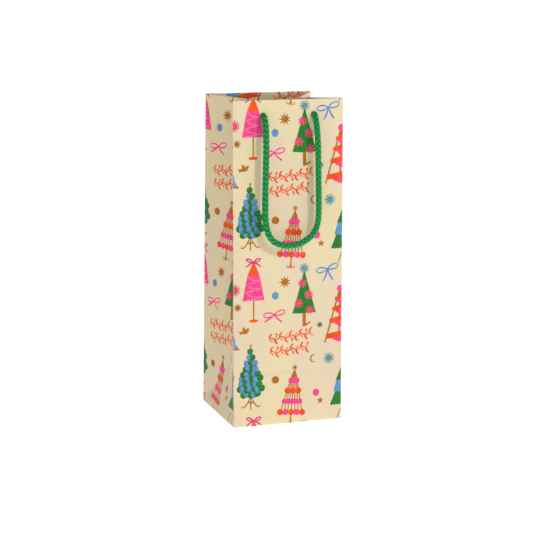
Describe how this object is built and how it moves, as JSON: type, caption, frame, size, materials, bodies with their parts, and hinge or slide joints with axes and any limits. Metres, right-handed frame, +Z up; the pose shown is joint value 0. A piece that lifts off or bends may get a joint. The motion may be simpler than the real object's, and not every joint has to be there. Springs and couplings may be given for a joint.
{
  "type": "wine gift bag",
  "caption": "Tall printed paper gift bag for a wine bottle, with folded gussets, a stiffened rim, a loose base board and knotted rope handles.",
  "frame": {"origin": "middle of the base, on the surface that the bag stands on", "axes": "+Z up, -Y out of the front panel, +X to the right as seen from the front"},
  "size_m": [0.125, 0.1402, 0.356],
  "materials": {
    "printed_paper": "matt laminated paper, printed all over",
    "plain_paper": "uncoated white inner face",
    "card": "grey board",
    "rope": "glossy braided polyester"
  },
  "bodies": {
    "bag": {"front_panel": "printed_paper", "back_panel": "printed_paper", "left_gusset_base": "printed_paper", "right_gusset_base": "printed_paper", "left_gusset_front": "printed_paper", "left_gusset_rear": "printed_paper", "right_gusset_front": "printed_paper", "right_gusset_rear": "printed_paper", "side_seam_flap": "plain_paper", "front_hem": "printed_paper", "back_hem": "printed_paper", "front_top_fold": "printed_paper", "back_top_fold": "printed_paper", "left_hem_front": "printed_paper", "left_hem_rear": "printed_paper", "right_hem_front": "printed_paper", "right_hem_rear": "printed_paper", "front_base_flap": "printed_paper", "back_base_flap": "printed_paper", "left_base_flap": "plain_paper", "right_base_flap": "plain_paper", "front_rim_card": "card", "back_rim_card": "card", "front_left_knot": "rope", "front_right_knot": "rope", "back_left_knot": "rope", "back_right_knot": "rope"},
    "front_handle": {"front_rope": "rope"},
    "back_handle": {"back_rope": "rope"},
    "base_board": {"base_board": "card"}
  },
  "joints": [
    {"name": "front_handle_swing", "type": "hinge", "parent": "bag", "child": "front_handle", "pos_m": [0, -0.06627, 0.3324], "axis": [-1, 0, 0], "range_deg": [0, 175]},
    {"name": "back_handle_swing", "type": "hinge", "parent": "bag", "child": "back_handle", "pos_m": [0, 0.05039, 0.3324], "axis": [1, 0, 0], "range_deg": [0, 175]},
    {"name": "base_board_lift", "type": "slide", "parent": "bag", "child": "base_board", "axis": [0, 0, 1], "range_m": [0, 0.014]}
  ]
}
